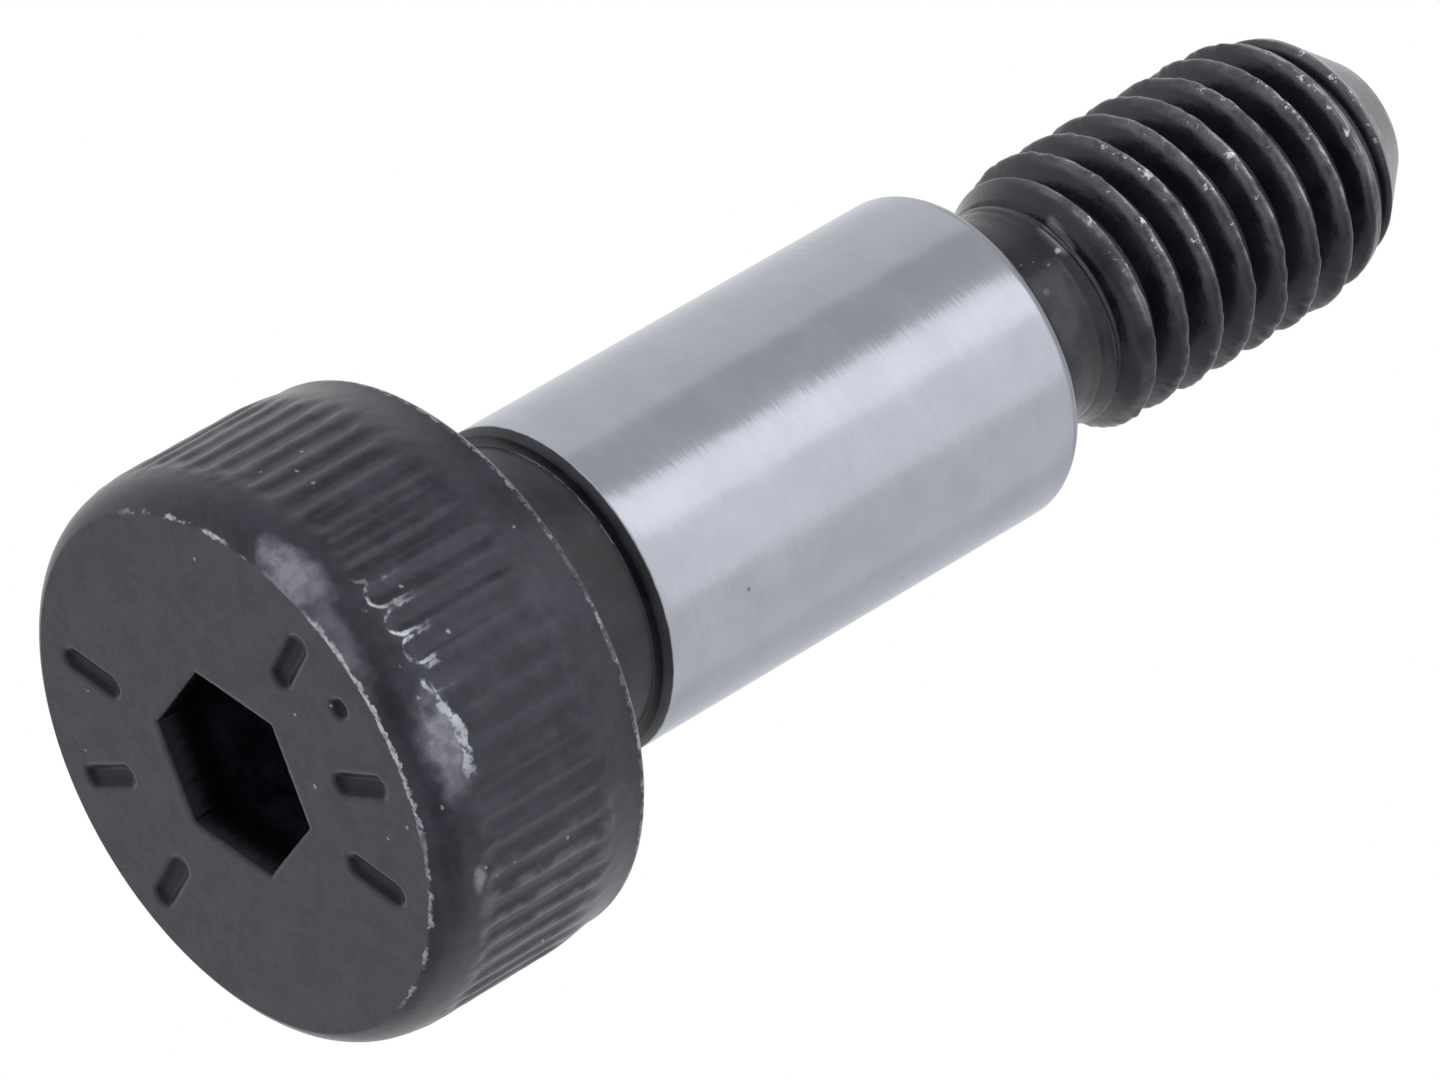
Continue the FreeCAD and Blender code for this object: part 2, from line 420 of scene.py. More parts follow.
def thread_radius(azimuth, height):
    """Flat root, and flanks that rise past the crests."""
    turns = (height - GROOVE_CENTRE) / THREAD_PITCH - azimuth / 360.0
    from_root = np.abs(turns - np.round(turns)) * THREAD_PITCH - THREAD_ROOT_FLAT / 2
    slope = 1 / math.tan(math.radians(THREAD_ANGLE / 2))
    return THREAD_ROOT_R + np.maximum(from_root, 0) * slope


def thread_skin(start, end):
    """A strip of rows that follow the helix, so that each row ends where the row a turn later begins.

    Heights are held between start and end, and rows that are flattened there are left out.
    """
    azimuth = np.arange(THREAD_COLUMNS + 1)[None, :] * 360.0 / THREAD_COLUMNS
    step = THREAD_PITCH / ROWS_PER_TURN
    rows = int((end - start) / step) + 2 * ROWS_PER_TURN + 1
    height = start - THREAD_PITCH + step * np.arange(rows)[:, None] + THREAD_PITCH * azimuth / 360.0
    held = np.clip(height, start, end)
    turn = azimuth + 0 * held
    rounding = FIRST_ROUNDING + (CREST_ROUNDING - FIRST_ROUNDING) * smooth(*FULL_CRESTS, held)
    radius = rounded_min(thread_radius(turn, held), shank_radius(held), rounding)
    crest = smooth(*CREST_BAND, radius - THREAD_ROOT_R)
    large = noise_round(turn, held * 4, cells=40, seed=11)
    small = noise_round(turn, held * 8, cells=110, seed=12)
    radius = radius + CREST_LUMPS * (large + 0.9 * small) * crest
    angle = np.radians(turn)
    points = np.stack([radius * np.cos(angle), radius * np.sin(angle), held], -1) * MM
    index = np.arange(radius.size).reshape(radius.shape)
    quads = np.stack([index[:-1, :-1], index[:-1, 1:], index[1:, 1:], index[1:, :-1]], -1)
    flat = (height[:-1, :-1] >= end) | (height[1:, 1:] <= start)
    mesh = bpy.data.meshes.new("bolt_thread")
    mesh.from_pydata(points.reshape(-1, 3).tolist(), [], quads[~flat].tolist())
    mesh.validate()
    return mesh


def close_thread(mesh):
    """Joins the strip's two sides and closes the two ends."""
    shape = bmesh.new()
    shape.from_mesh(mesh)
    bmesh.ops.remove_doubles(shape, verts=shape.verts, dist=WELD * MM)
    bmesh.ops.dissolve_degenerate(shape, dist=WELD * MM, edges=shape.edges)
    bmesh.ops.holes_fill(shape, edges=[e for e in shape.edges if e.is_boundary], sides=0)
    bmesh.ops.recalc_face_normals(shape, faces=shape.faces)
    shape.to_mesh(mesh)
    shape.free()
    mesh.shade_smooth()
    mesh.set_sharp_from_angle(angle=math.radians(SHARP_ANGLE))


def make_thread():
    mesh = thread_skin(SHOULDER_END + THREAD_SUNK, TIP_END)
    close_thread(mesh)
    return add_piece("bolt_thread", mesh)


# Materials


def empty_material(name):
    """A material with nothing but its output, and the socket that its surface goes to."""
    material = bpy.data.materials.new(name)
    material.use_nodes = True
    tree = material.node_tree
    tree.nodes.clear()
    return material, tree, tree.nodes.new("ShaderNodeOutputMaterial").inputs["Surface"]


class Shader:
    """Strings the nodes of one material together. place is the surface point in millimetres."""

    def __init__(self, name):
        self.material, self.tree, surface = empty_material(name)
        self.surface = self.tree.nodes.new("ShaderNodeBsdfPrincipled")
        self.tree.links.new(self.surface.outputs[0], surface)
        coordinates = self.tree.nodes.new("ShaderNodeTexCoord")
        self.place = self.vector("MULTIPLY", coordinates.outputs["Object"], (1 / MM, 1 / MM, 1 / MM))
        parts = self.tree.nodes.new("ShaderNodeSeparateXYZ")
        self.put(parts.inputs[0], self.place)
        self.x, self.y, self.z = parts.outputs
        self.radius = self.length(self.x, self.y)

    def put(self, socket, value):
        if isinstance(value, bpy.types.NodeSocket):
            self.tree.links.new(value, socket)
        else:
            socket.default_value = value

    def math(self, operation, a, b=0.0, c=0.0):
        node = self.tree.nodes.new("ShaderNodeMath")
        node.operation = operation
        for socket, value in zip(node.inputs, (a, b, c)):
            self.put(socket, value)
        return node.outputs[0]

    def add(self, a, b):
        return self.math("ADD", a, b)

    def times(self, first, *others):
        product = first
        for value in others:
            product = self.math("MULTIPLY", product, value)
        return product

    def most(self, first, *others):
        top = first
        for value in others:
            top = self.math("MAXIMUM", top, value)
        return top

    def scaled(self, value, factor, plus):
        return self.math("MULTIPLY_ADD", value, factor, plus)

    def spread(self, noise, width):
        """Noise about 0.5 made into noise about 0, with all its values scaled by width."""
        return self.times(self.math("SUBTRACT", noise, 0.5), width)

    def length(self, a, b):
        return self.math("SQRT", self.add(self.times(a, a), self.times(b, b)))

    def vector(self, operation, a, b):
        node = self.tree.nodes.new("ShaderNodeVectorMath")
        node.operation = operation
        self.put(node.inputs[0], a)
        self.put(node.inputs[1], b)
        return node.outputs[0]

    def rise(self, value, low, high):
        """0 at low, 1 at high, with an even curve between them. low may be over high."""
        if low > high:
            return self.math("SUBTRACT", 1.0, self.rise(value, high, low))
        node = self.tree.nodes.new("ShaderNodeMapRange")
        node.interpolation_type = "SMOOTHSTEP"
        for name, number in zip(("Value", "From Min", "From Max"), (value, low, high)):
            self.put(node.inputs[name], number)
        return node.outputs[0]

    def band(self, value, middle, half, edge):
        """1 within half of the middle, fading over edge."""
        away = self.math("ABSOLUTE", self.math("SUBTRACT", value, middle))
        return self.rise(away, half + edge, half)

    def noise(self, scale, detail=2.0, stretch=(1, 1, 1), shift=(0, 0, 0), rough=0.5):
        """Noise about 0.5, with scale cells a millimetre."""
        node = self.tree.nodes.new("ShaderNodeTexNoise")
        place = self.vector("ADD", self.vector("MULTIPLY", self.place, stretch), shift)
        self.put(node.inputs["Vector"], place)
        self.put(node.inputs["Scale"], scale)
        self.put(node.inputs["Detail"], detail)
        self.put(node.inputs["Roughness"], rough)
        return node.outputs[0]

    def toward(self, azimuth):
        """Cosine of the angle round the axis from that azimuth."""
        a = math.radians(azimuth)
        dot = self.add(self.times(self.x, math.cos(a)), self.times(self.y, math.sin(a)))
        return self.math("DIVIDE", dot, self.math("MAXIMUM", self.radius, 0.01))

    def side(self, azimuth, low, high):
        """0 and 1 where the cosine of the angle from that azimuth is low and high."""
        return self.rise(self.toward(azimuth), low, high)

    def angle_from(self, azimuth):
        """Angle round the axis from that azimuth, in radians."""
        return self.math("ARCCOSINE", self.math("MINIMUM", self.toward(azimuth), 1.0))

    def mix(self, factor, a, b):
        node = self.tree.nodes.new("ShaderNodeMix")
        node.data_type = "RGBA"
        node.clamp_factor = True
        self.put(node.inputs[0], factor)
        self.put(node.inputs[6], (*a, 1) if isinstance(a, tuple) else a)
        self.put(node.inputs[7], (*b, 1) if isinstance(b, tuple) else b)
        return node.outputs[2]

    def specks(self, scale, size, share):
        """Ragged specks of about that radius in millimetres, in a share of the cells."""
        ragged = self.spread(self.noise(0.6 / size, 2.0, shift=(3, 1, 9)), 2.4 * size)
        node = self.tree.nodes.new("ShaderNodeTexVoronoi")
        self.put(node.inputs["Vector"], self.vector("ADD", self.place, ragged))
        self.put(node.inputs["Scale"], scale)
        parts = self.tree.nodes.new("ShaderNodeSeparateColor")
        self.put(parts.inputs[0], node.outputs["Color"])
        chosen = self.math("LESS_THAN", parts.outputs[0], share)
        inside = self.rise(node.outputs["Distance"], size * scale * 1.3, size * scale * 0.6)
        return self.times(chosen, inside)

    def tint(self, colour):
        """Colour of the reflections at a low angle."""
        self.surface.inputs["Specular Tint"].default_value = (*colour, 1)

    def bump(self, height, depth):
        """height from 0 to 1 stands for depth in millimetres."""
        node = self.tree.nodes.new("ShaderNodeBump")
        self.put(node.inputs["Height"], height)
        self.put(node.inputs["Distance"], depth * MM)
        self.put(node.inputs["Strength"], 1.0)
        self.put(self.surface.inputs["Normal"], node.outputs[0])

    def finish(self, colour, roughness, metallic):
        self.put(self.surface.inputs["Base Color"], colour)
        self.put(self.surface.inputs["Roughness"], roughness)
        self.put(self.surface.inputs["Metallic"], metallic)
        return self.material


OXIDE_DARK = (0.003, 0.003, 0.005)
OXIDE_PALE = (0.020, 0.020, 0.032)
OILY_DARK = (0.004, 0.004, 0.006)
OILY_PALE = (0.014, 0.014, 0.017)
# Painted shade: dark colour in the socket and in the pressed strokes
RECESS_SHADE = (0.010, 0.010, 0.013)
# Paler ridge tops: a little rubbed wear all round, and painted highlight at two sides of the knurl
RIDGE_WEAR_AND_HIGHLIGHT = (0.10, 0.10, 0.12)
SCUFF = (0.25, 0.25, 0.29)
# Pale colour of worn metal, used also for the painted highlights on the crests and the tool marks
WEAR_AND_HIGHLIGHT = (0.44, 0.45, 0.49)
# Painted glints on the crests
PAINTED_GLINT = (0.80, 0.84, 0.88)
SMEAR = (0.07, 0.062, 0.055)
STEEL = (0.372, 0.385, 0.428)
# Painted shade over the chamfer at the end of the shoulder
CHAMFER_SHADE = (0.20, 0.20, 0.23)
PIT = (0.06, 0.06, 0.065)
BLUE_SHEEN = (0.86, 0.88, 1.0)
STEEL_SHEEN = (0.96, 0.975, 1.0)

KEEP_POSITIVE = 100.0    # whole turns added so that their fraction is taken of a positive number

# Places of wear, painted highlights and painted shade. A SIDE is an azimuth and two cosines of the
# angle from it: where the mark begins and where it is full. Pairs are heights or radii in that same order.

# Wear, painted highlights and painted shade of the head
EDGE_LINE_R = 4.665      # bright line along the edge of the face
EDGE_TORN_R = 4.66       # wider torn stretch of it
EDGE_HEIGHTS = (0.14, 0.06)
EDGE_SIDES = [(-78, 0.64, 0.80), (-46, 0.88, 0.96)]
EDGE_THIN_SIDE = (6, 0.88, 0.97)
EDGE_WHOLE_SIDE = (-42, 0.80, 0.90)   # not broken into dashes there
EDGE_TORN_SIDE = (-42, 0.88, 0.95)
EDGE_GAP_SIDE = (-76, 0.9935, 0.984)
OUTLINE_R = 0.225        # radius of the line round the start of a flute
OUTLINE_CENTRE = KNURL_START + 0.24
OUTLINE_HEIGHTS = (1.7, 0.9)
OUTLINE_SIDE = (-55, 0.972, 0.988)
RIM_LINE = 4.39          # height of the worn line on the back rim
RIM_RADII = (4.88, 4.93)
SCUFF_RADII = (4.59, 4.65)
LIP_HEIGHTS = (0.84, 0.92)
LIP_SIDE = (-38, 0.970, 0.990)
RIDGE_RADII = (5.06, 5.10)
# Sides where the ridge tops get painted highlight
RIDGE_HIGHLIGHT_SIDE = (14, 0.90, 0.97)
RIDGE_FAINT_HIGHLIGHT_SIDE = (-118, 0.93, 0.98)
# Depths, heights and radii of the painted shade in the socket and the strokes
RECESS_SHADE_DEPTHS = (0.004, 0.05)
RECESS_SHADE_HEIGHTS = (1.2, 0.6)
RECESS_SHADE_RADII = (4.5, 4.4)
OUTSIDE_SOCKET = (2.0, 2.1)

# Places on the shoulder
GROUND_START = (6.985, 7.01)
GROUND_STOP = (16.49, 16.47)
# Heights where the painted shade over the end chamfer begins
CHAMFER_SHADE_START = (16.26, 16.36)
WALL_FOOT = 6.82         # height of the flecks at the foot of the groove's wall
WALL_FOOT_SIDE = (-74, 0.80, 0.93)

# Places on the neck and the thread
SMEAR_HEIGHTS = (18.3, 17.6)
SMEAR_SIDE = (-5, 0.35, 0.85)
# Crests: rubbed patches with painted highlight on the lit side, and a painted highlight line along their edge
RUB_AND_HIGHLIGHT_HEIGHTS = (18.5, 18.8)
RUB_HIGHLIGHT_SIDE = (-66, 0.55, 0.92)
CREST_EDGE_HIGHLIGHT_SIDE = (-62, 0.55, 0.95)
# Heights and side of the painted glints on the crests
GLINT_HEIGHTS = (18.6, 18.8)
GLINT_LIT_SIDE = (-66, 0.80, 0.93)
# Painted highlight on the tool marks where the flare begins
TOOL_MARK_HIGHLIGHT_HEIGHT = 18.24
TOOL_MARK_HIGHLIGHT_SIDE = (-73, 0.980, 0.995)


def flute_outline(s, wander):
    """A line round the rounded start of every flute."""
    turn = s.scaled(s.math("ARCTAN2", s.y, s.x), KNURL_COUNT / (2 * math.pi), KEEP_POSITIVE)
    across = s.spread(s.math("FRACT", turn), 2 * math.pi * KNURL_R / KNURL_COUNT)
    along = s.math("MINIMUM", s.math("SUBTRACT", s.z, OUTLINE_CENTRE), 0.0)
    line = s.band(s.add(s.length(across, along), wander), OUTLINE_R, 0.014, 0.035)
    return s.times(line, s.rise(s.z, *OUTLINE_HEIGHTS))


def worn_edge(s, wander):
    """The edge of the face: a line broken into dashes, and a wider torn stretch."""
    low = s.rise(s.z, *EDGE_HEIGHTS)
    line = s.times(s.band(s.add(s.radius, wander), EDGE_LINE_R, 0.013, 0.036), low)
    side = s.most(*[s.side(*place) for place in EDGE_SIDES])
    thin = s.times(s.side(*EDGE_THIN_SIDE), 0.8)
    slow = s.rise(s.noise(1.1, 2.0, shift=(4, 4, 9)), 0.30, 0.45)
    dashes = s.most(s.side(*EDGE_WHOLE_SIDE), s.rise(s.noise(2.6, 2.0, shift=(2, 7, 7)), 0.46, 0.54))
    line = s.times(s.times(line, s.most(side, thin)), s.times(slow, dashes))
    torn = s.times(s.band(s.add(s.radius, s.times(wander, 1.2)), EDGE_TORN_R, 0.034, 0.02), low)
    torn = s.times(torn, s.rise(s.noise(3.4, 4.0, shift=(6, 2, 2), rough=0.7), 0.47, 0.53))
    edge = s.most(line, s.times(torn, s.side(*EDGE_TORN_SIDE)))
    fine = s.rise(s.noise(8.0, 2.0, shift=(1, 5, 5)), 0.40, 0.56)
    return s.times(edge, s.scaled(fine, 0.45, 0.6), s.scaled(s.side(*EDGE_GAP_SIDE), 0.85, 0.15))


def worn_flutes(s, wander):
    """The starts of some flutes, on the side towards the camera."""
    outline = flute_outline(s, s.times(wander, 0.8))
    return s.times(outline, s.side(*OUTLINE_SIDE), s.rise(s.noise(2.6, 3.0, shift=(5, 1, 4)), 0.42, 0.54))


def worn_rim(s, ragged, wander):
    """The back rim, all the way round."""
    line = s.band(s.add(s.z, s.times(wander, 0.9)), RIM_LINE, 0.030, 0.03)
    torn = s.rise(s.noise(2.6, 5.0, shift=(8, 8, 1), rough=0.75), 0.48, 0.56)
    faint = s.times(s.rise(ragged, 0.45, 0.6), 0.35)
    return s.times(line, s.rise(s.radius, *RIM_RADII), s.most(torn, faint))


def head_wear(s):
    """Where the black is worn off: edge of the face, starts of some flutes and the back rim."""
    ragged = s.noise(5.0, 4.0, shift=(1, 9, 4), rough=0.7)
    wander = s.spread(ragged, 0.20)
    return s.most(worn_edge(s, wander), worn_flutes(s, wander), s.times(worn_rim(s, ragged, wander), 0.6))


def head_scuffs(s):
    """Rubbed patches on the rounding, and the bright ragged lip that was pushed up beside one."""
    rough = s.math("SUBTRACT", s.noise(2.6, 3.0, shift=(7, 3, 3), rough=0.55), 0.5)
    patches = []
    for azimuth, height, reach, half, share in SCUFFS:
        across = s.times(s.angle_from(azimuth), 1 / math.radians(reach))
        along = s.times(s.math("SUBTRACT", s.z, height), 1 / half)
        away = s.add(s.length(across, along), s.times(rough, 1.1))
        patches.append(s.times(s.rise(away, 1.2, 0.35), share))
    blotches = s.rise(s.noise(3.2, 3.0, shift=(2, 8, 6), rough=0.55), 0.35, 0.62)
    scuff = s.times(s.times(s.most(*patches), s.rise(s.radius, *SCUFF_RADII)), s.scaled(blotches, 0.45, 0.55))
    lip = s.times(s.band(patches[1], 0.45, 0.25, 0.15), s.rise(s.add(s.z, s.times(rough, 0.5)), *LIP_HEIGHTS))
    return scuff, s.times(lip, s.side(*LIP_SIDE), s.rise(s.noise(7.0, 3.0), 0.36, 0.50))


def black_oxide():
    """Head: blackened steel with a faint blue sheen, scuffs and bright worn edges, painted highlight on the
    knurl's ridges at two sides, and painted shade in the socket and the strokes.
    """
    s = Shader("black_oxide")
    mottle = s.noise(1.3, 5.0, rough=0.65)
    grain = s.noise(6.0, 3.0, shift=(3, 7, 1))
    tone = s.rise(s.add(s.times(mottle, 0.7), s.times(grain, 0.3)), 0.36, 0.64)
    colour = s.mix(tone, OXIDE_DARK, OXIDE_PALE)
    # Ridge tops: faint rubbed wear all round, much paler at two sides as painted highlight
    ridge = s.times(s.rise(s.radius, *RIDGE_RADII), s.rise(s.noise(2.0, 3.0, shift=(5, 5, 8)), 0.40, 0.62))
    sides = s.most(s.side(*RIDGE_HIGHLIGHT_SIDE), s.times(s.side(*RIDGE_FAINT_HIGHLIGHT_SIDE), 0.3))
    colour = s.mix(s.times(ridge, s.scaled(sides, 0.75, 0.15)), colour, RIDGE_WEAR_AND_HIGHLIGHT)
    # Painted shade: the socket walls and the bottoms of the strokes are darkened
    inside = s.times(s.rise(s.z, *RECESS_SHADE_DEPTHS), s.rise(s.z, *RECESS_SHADE_HEIGHTS))
    recess_shade = s.times(inside, s.rise(s.radius, *RECESS_SHADE_RADII))
    colour = s.mix(recess_shade, colour, RECESS_SHADE)
    scuff, lip = head_scuffs(s)
    colour = s.mix(scuff, colour, SCUFF)
    specks = s.times(s.specks(2.2, 0.035, 0.32), s.rise(s.radius, *OUTSIDE_SOCKET))
    worn = s.most(head_wear(s), s.times(lip, 0.9), s.times(specks, 0.6))
    s.bump(s.add(s.times(mottle, 0.6), s.times(grain, 0.4)), 0.010)
    s.tint(BLUE_SHEEN)
    roughness = s.add(s.scaled(mottle, 0.24, 0.20), s.times(scuff, 0.08))
    metal = s.most(s.times(worn, 0.6), s.times(scuff, 0.3), s.times(recess_shade, 0.8))
    return s.finish(s.mix(worn, colour, WEAR_AND_HIGHLIGHT), roughness, metal)


def ground_steel():
    """Shoulder: blackened, then ground bright, so only the groove and the end face stay black."""
    s = Shader("ground_steel")
    lines = s.noise(1.0, 3.0, stretch=(0.6, 0.6, 24.0), rough=0.65)
    cloud = s.noise(0.9, 5.0, shift=(8, 2, 2), rough=0.6)
    tone = s.rise(s.add(s.times(lines, 0.25), s.times(cloud, 0.75)), 0.3, 0.7)
    bright = s.mix(tone, tuple(0.94 * c for c in STEEL), tuple(1.06 * c for c in STEEL))
    bright = s.mix(s.times(s.specks(1.1, 0.035, 0.25), 0.7), bright, PIT)
    # Painted shade: the chamfer at the end is darkened to tone down its reflection
    bright = s.mix(s.times(s.rise(s.z, *CHAMFER_SHADE_START), 0.8), bright, CHAMFER_SHADE)
    height = s.add(s.z, s.spread(s.noise(4.0, 3.0), 0.03))
    ground = s.times(s.rise(height, *GROUND_START), s.rise(s.z, *GROUND_STOP))
    mottle = s.rise(s.noise(1.4, 4.0, rough=0.6, shift=(1, 1, 6)), 0.3, 0.7)
    oxide = s.mix(mottle, OXIDE_DARK, OXIDE_PALE)
    torn = s.noise(3.2, 5.0, shift=(3, 6, 1), rough=0.75)
    foot = s.band(s.add(s.z, s.spread(torn, 0.10)), WALL_FOOT, 0.006, 0.014)
    foot = s.times(foot, s.rise(torn, 0.42, 0.60), s.side(*WALL_FOOT_SIDE))
    oxide = s.mix(s.times(foot, 0.8), oxide, SCUFF)
    waves = s.noise(1.6, 2.0, shift=(5, 1, 8))
    streaks = s.noise(1.3, 2.0, stretch=(1, 1, 9.0), shift=(2, 6, 1), rough=0.6)
    s.bump(s.add(s.times(lines, 0.12), s.add(s.times(waves, 0.9), s.times(streaks, 0.8))), 0.005)
    s.tint(STEEL_SHEEN)
    black = s.math("SUBTRACT", 1.0, ground)
    roughness = s.add(s.times(ground, s.scaled(cloud, 0.14, 0.13)), s.times(black, 0.38))
    return s.finish(s.mix(ground, oxide, bright), roughness, ground)


def below_crest(s):
    """How far the surface lies under the outline that the crests touch."""
    flare = 1 / math.tan(math.radians(90 - FLARE_ANGLE))
    start = s.scaled(s.z, flare, NECK_R - FLARE_START * flare)
    taper = s.rise(s.z, TAPER_START - 0.1, CHAMFER_START + 0.1)
    end = s.scaled(taper, TAPER_R - THREAD_R, THREAD_R)
    return s.math("SUBTRACT", s.math("MINIMUM", start, end), s.radius)


def from_crest(s):
    """Distance from the middle of the crest towards the tip, in pitches."""
    turn = s.times(s.math("ARCTAN2", s.y, s.x), -1 / (2 * math.pi))
    pitches = s.scaled(s.z, 1 / THREAD_PITCH, KEEP_POSITIVE - GROOVE_CENTRE / THREAD_PITCH)
    return s.math("SUBTRACT", s.math("FRACT", s.add(pitches, turn)), 0.5)


def neck_dirt(s):
    """A few specks of dirt on the neck."""
    ragged = s.spread(s.noise(9.0, 2.0, shift=(7, 7, 2)), 0.06)
    specks = []
    for azimuth, height, radius, pale in NECK_SPOTS:
        across = s.times(s.angle_from(azimuth), NECK_R)
        away = s.add(s.length(across, s.math("SUBTRACT", s.z, height)), ragged)
        specks.append(s.times(s.rise(away, radius * 1.4, radius * 0.5), pale))
    return s.most(*specks)


def crest_wear_and_highlights(s, patch, ragged):
    """Broad rubbed patches on the crests, lighter on the lit side and on the half towards the tip, which is
    painted highlight, and a bright line of painted highlight along their edge towards the tip.
    """
    start = s.rise(s.z, *RUB_AND_HIGHLIGHT_HEIGHTS)
    crest = s.times(s.rise(s.add(below_crest(s), ragged), 0.17, 0.07), start)
    # Painted highlight: the half of each crest towards the tip is lighter
    tip_half_highlight = s.scaled(s.rise(from_crest(s), -0.10, 0.10), 0.5, 0.5)
    crest_wear_and_highlight = s.times(crest, tip_half_highlight, s.scaled(s.rise(patch, 0.35, 0.62), 0.7, 0.3))
    crest_wear_and_highlight = s.times(crest_wear_and_highlight, s.scaled(s.side(*RUB_HIGHLIGHT_SIDE), 0.85, 0.15))
    # Painted highlight: a bright line along the crest's edge towards the tip, on the lit side
    edge = s.times(s.band(s.add(from_crest(s), s.times(ragged, 0.8)), 0.04, 0.015, 0.04), start)
    edge = s.times(edge, s.times(s.rise(patch, 0.42, 0.60), s.side(*CREST_EDGE_HIGHLIGHT_SIDE)))
    return crest_wear_and_highlight, edge


def painted_crest_glints(s, ragged):
    """Painted glints: bright specks on the tops of the crests, on the lit side."""
    glint_specks = s.rise(s.noise(3.2, 5.0, shift=(4, 6, 2), rough=0.8), 0.575, 0.62)
    top = s.rise(s.add(below_crest(s), s.times(ragged, 0.5)), 0.08, 0.03)
    return s.times(s.times(glint_specks, top), s.times(s.side(*GLINT_LIT_SIDE), s.rise(s.z, *GLINT_HEIGHTS)))


def tool_mark_highlights(s):
    """Painted highlight along fine marks of the turning tool where the flare begins, on a narrow side."""
    marks = s.rise(s.noise(1.0, 2.0, stretch=(0.5, 0.5, 8.0), shift=(1, 4, 2)), 0.44, 0.56)
    return s.times(marks, s.times(s.band(s.z, TOOL_MARK_HIGHLIGHT_HEIGHT, 0.12, 0.10), s.side(*TOOL_MARK_HIGHLIGHT_SIDE)))


def thread_oxide():
    """Neck, thread and tip: oily black, rubbed along the crests, with a brown smear on the neck, and painted
    highlights and glints on the crests and the flare on the lit side.
    """
    s = Shader("thread_oxide")
    mottle = s.noise(1.6, 4.0, rough=0.6, shift=(6, 1, 1))
    grain = s.noise(9.0, 3.0, shift=(3, 2, 1))
    patch = s.noise(2.0, 5.0, shift=(9, 2, 4), rough=0.7)
    ragged = s.spread(patch, 0.20)
    colour = s.mix(s.rise(mottle, 0.3, 0.7), OILY_DARK, OILY_PALE)
    smear = s.times(s.rise(s.noise(1.1, 3.0, shift=(2, 2, 2)), 0.45, 0.62), s.rise(s.z, *SMEAR_HEIGHTS))
    smear = s.times(smear, s.side(*SMEAR_SIDE))
    colour = s.mix(s.times(smear, 0.5), colour, SMEAR)
    # Rubbed crests with painted highlights on the lit side and along their edges
    crest_wear_and_highlight, edge = crest_wear_and_highlights(s, patch, ragged)
    # worn holds wear and dirt, and also the painted highlights of the crests and the tool marks
    worn = s.most(s.times(crest_wear_and_highlight, 0.50), s.times(edge, 0.8), s.times(tool_mark_highlights(s), 0.4), neck_dirt(s))
    s.bump(s.add(s.times(grain, 0.3), s.times(patch, 0.7)), 0.014)
    s.tint(BLUE_SHEEN)
    roughness = s.scaled(mottle, 0.16, 0.15)
    # Painted glints on the crests over the rest
    colour = s.mix(painted_crest_glints(s, ragged), s.mix(worn, colour, WEAR_AND_HIGHLIGHT), PAINTED_GLINT)
    return s.finish(colour, roughness, s.times(worn, 0.8))


def dress(piece, material):
    piece.data.materials.append(material)


# Studio, in metres

STUDIO_MIDDLE = (0, 0, 0.012)
LAMP_DISTANCE = 0.4
CARD_DISTANCE = 0.42
CARD_BLUE = 1.02         # blue of a card, as a share of its level
WORLD_SOFT = (0.62, 0.62, 0.64, 1)
FLOOR_COLOUR = (0.86, 0.86, 0.86, 1)
FLOOR_R = 0.3
FLOOR_SIDES = 96
FLOOR_GAP = 0.00001

# Lamps: name, azimuth, elevation, width, height, watts
LAMPS = [
    ("key", -62, 36, 0.22, 0.22, 0.25),
    ("top", 150, 60, 0.4, 0.4, 0.5),
    ("under", 200, -50, 0.35, 0.35, 0.3),
]

# Cards: name, azimuth, elevation, width, height, level. At level 1 a card is as bright as the white round it.
CARDS = [
    ("bright_card", -61.5, 34, 0.18, 0.36, 1.8),
    ("white_card", -29, 34, 0.224, 0.36, 1.35),
    ("gray_card", -98, 34, 0.26, 0.36, 0.72),
    ("camera_card", -42, -36, 0.36, 0.30, 0.52),
    ("dark_card", 16, -20, 0.32, 0.34, 0.60),
    ("side_card", 76, -36, 0.30, 0.30, 0.60),
    ("low_card", 89, 34, 0.36, 0.36, 0.85),
    ("face_card", 131, -34, 0.34, 0.34, 0.86),
]


def place_camera():
    place, aim = Vector(CAMERA_PLACE), Vector(CAMERA_AIM)
    upright = (aim - place).to_track_quat("-Z", "Y").to_matrix()
    roll = Matrix.Rotation(math.radians(CAMERA_ROLL), 3, "Z")
    data = bpy.data.cameras.new("camera")
    data.sensor_width = CAMERA_SENSOR
    data.lens = CAMERA_LENS
    data.clip_start, data.clip_end = 0.01, 10.0
    camera = bpy.data.objects.new("camera", data)
    camera.matrix_world = Matrix.Translation(place * MM) @ (upright @ roll).to_4x4()
    bpy.context.scene.collection.objects.link(camera)
    bpy.context.scene.camera = camera


def direction(azimuth, elevation):
    a, e = math.radians(azimuth), math.radians(elevation)
    return Vector((math.cos(a) * math.cos(e), math.sin(a) * math.cos(e), math.sin(e)))


def aimed(azimuth, elevation, distance):
    """A place round the middle of the bolt, turned to face it."""
    back = direction(azimuth, elevation)
    turn = (-back).to_track_quat("-Z", "Z").to_matrix().to_4x4()
    return Matrix.Translation(Vector(STUDIO_MIDDLE) + back * distance) @ turn


def softbox(name, azimuth, elevation, width, height, watts):
    """Soft light for the surfaces and the floor. Reflections see the cards in its place."""
    data = bpy.data.lights.new(name, "AREA")
    data.shape = "RECTANGLE"
    data.size, data.size_y = width, height
    data.energy = watts
    lamp = bpy.data.objects.new(name, data)
    lamp.matrix_world = aimed(azimuth, elevation, LAMP_DISTANCE)
    lamp.visible_glossy = False
    bpy.context.scene.collection.objects.link(lamp)


